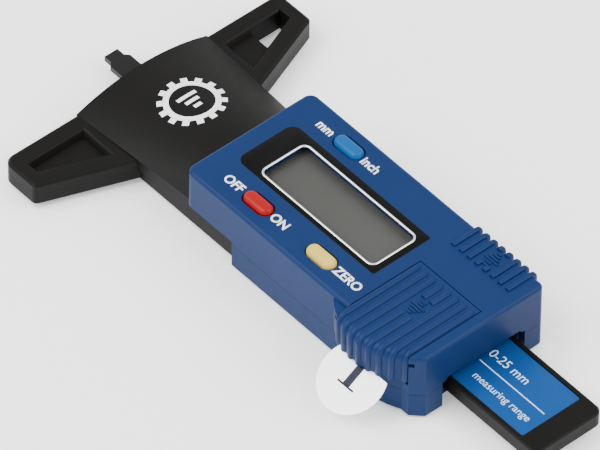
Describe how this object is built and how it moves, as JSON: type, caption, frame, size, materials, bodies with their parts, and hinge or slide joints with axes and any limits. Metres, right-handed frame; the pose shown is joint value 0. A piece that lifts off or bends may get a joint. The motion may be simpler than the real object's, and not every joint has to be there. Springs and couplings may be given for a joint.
{
  "type": "tire tread gauge",
  "caption": "Hand-held digital tread depth gauge: T-shaped foot, display housing, and a flat beam that slides through it and ends in a narrow probe.",
  "frame": {"origin": "middle of the flat back of the housing, on the plane that the gauge rests on", "axes": "+X from the measuring foot towards the sliding tail, +Y across the display towards the windowed wing, +Z out of the display"},
  "size_m": [0.1335, 0.07, 0.0172],
  "materials": {
    "black_plastic": "fine moulded grain",
    "blue_plastic": "satin moulded",
    "probe_black": "satin black coat",
    "steel": "plain",
    "brass": "rolled strip",
    "copper": "etched copper",
    "board_green": "solder mask",
    "chip_black": "epoxy",
    "window_clear": "clear acrylic",
    "display_grey": "blank reflective display",
    "zebra_rubber": "layered strip",
    "bezel_black": "printed film",
    "trim_silver": "silver print",
    "button_red": "satin",
    "button_blue": "satin",
    "button_yellow": "satin",
    "label_blue": "printed label",
    "film_white": "translucent film"
  },
  "bodies": {
    "housing": {"foot_upper_shell": "black_plastic", "foot_lower_shell": "black_plastic", "guide_channel": "black_plastic", "lcd_holder": "black_plastic", "battery_holder": "black_plastic", "housing_top": "blue_plastic", "housing_bottom": "blue_plastic", "foot_screws": "steel", "neck_screws": "steel", "case_screws": "steel", "board_screws": "steel", "stop_pin": "steel", "battery_cell": "steel", "contact_spring": "steel", "contact_clip": "steel", "button_domes": "steel", "gib_strip": "brass", "sensor_pads": "copper", "circuit_board": "board_green", "controller_chip": "chip_black", "display_window": "window_clear", "lcd_glass": "display_grey", "zebra_connectors": "zebra_rubber", "display_bezel": "bezel_black", "bezel_trim": "trim_silver"},
    "slider": {"beam": "black_plastic", "depth_probe": "probe_black", "probe_rivets": "steel", "scale_strip": "copper", "beam_label": "label_blue"},
    "power_key": {"power_button": "button_red"},
    "unit_key": {"unit_button": "button_blue"},
    "zero_key": {"zero_button": "button_yellow"},
    "door": {"battery_door": "blue_plastic"},
    "film": {"pull_tab": "film_white"}
  },
  "joints": [
    {"name": "beam_slide", "type": "slide", "parent": "housing", "child": "slider", "axis": [1, 0, 0], "range_m": [-0.015, 0.0104]},
    {"name": "power_press", "type": "slide", "parent": "housing", "child": "power_key", "axis": [0, 0, -1], "range_m": [0, 0.0006], "stiffness_N_per_m": 1200},
    {"name": "unit_press", "type": "slide", "parent": "housing", "child": "unit_key", "axis": [0, 0, -1], "range_m": [0, 0.0006], "stiffness_N_per_m": 1200},
    {"name": "zero_press", "type": "slide", "parent": "housing", "child": "zero_key", "axis": [0, 0, -1], "range_m": [0, 0.0006], "stiffness_N_per_m": 1200},
    {"name": "door_slide", "type": "slide", "parent": "housing", "child": "door", "axis": [0, -1, 0], "range_m": [0, 0.021]},
    {"name": "film_pull", "type": "slide", "parent": "housing", "child": "film", "axis": [0, -1, 0], "range_m": [0, 0.014]}
  ]
}
